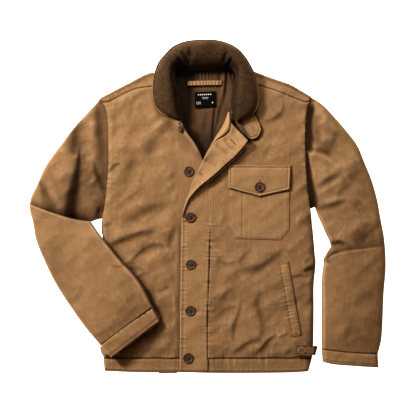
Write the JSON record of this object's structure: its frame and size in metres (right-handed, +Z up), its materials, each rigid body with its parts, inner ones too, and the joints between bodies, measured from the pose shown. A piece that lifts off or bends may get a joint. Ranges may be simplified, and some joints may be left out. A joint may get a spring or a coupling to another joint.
{
  "type": "deck jacket",
  "caption": "Short canvas deck jacket with a wool collar, laid flat on its back with one sleeve bent over the front and the top of the placket turned back.",
  "frame": {"origin": "middle of the outline, on the surface that the jacket lies on", "axes": "+X towards the viewer's right (the wearer's left sleeve), +Y towards the collar, +Z up from the surface"},
  "size_m": [0.818, 0.7666, 0.0582],
  "materials": {
    "canvas": "matte cotton canvas",
    "canvas_trim": "matte cotton canvas",
    "wool": "brushed wool",
    "lining": "plain woven",
    "label_weave": "woven",
    "button_horn": "satin"
  },
  "bodies": {
    "root": {"back": "canvas", "front_left": "canvas", "front_right": "canvas", "hem_back": "canvas", "hem_front_left": "canvas", "hem_front_right": "canvas", "left_sleeve": "canvas", "right_sleeve": "canvas", "left_cuff": "canvas", "right_cuff": "canvas", "chest_pocket": "canvas", "under_collar": "canvas", "placket": "canvas_trim", "placket_turnback": "canvas_trim", "facing_turnback": "canvas_trim", "pocket_flap": "canvas_trim", "welt_left": "canvas_trim", "welt_right": "canvas_trim", "waist_tab_left": "canvas_trim", "waist_tab_right": "canvas_trim", "throat_tab": "canvas_trim", "locker_loop": "canvas_trim", "collar": "wool", "back_lining": "lining", "label": "label_weave", "button_1": "button_horn", "button_2": "button_horn", "button_3": "button_horn", "button_4": "button_horn", "button_5": "button_horn", "button_6": "button_horn", "button_pocket": "button_horn"}
  },
  "joints": []
}
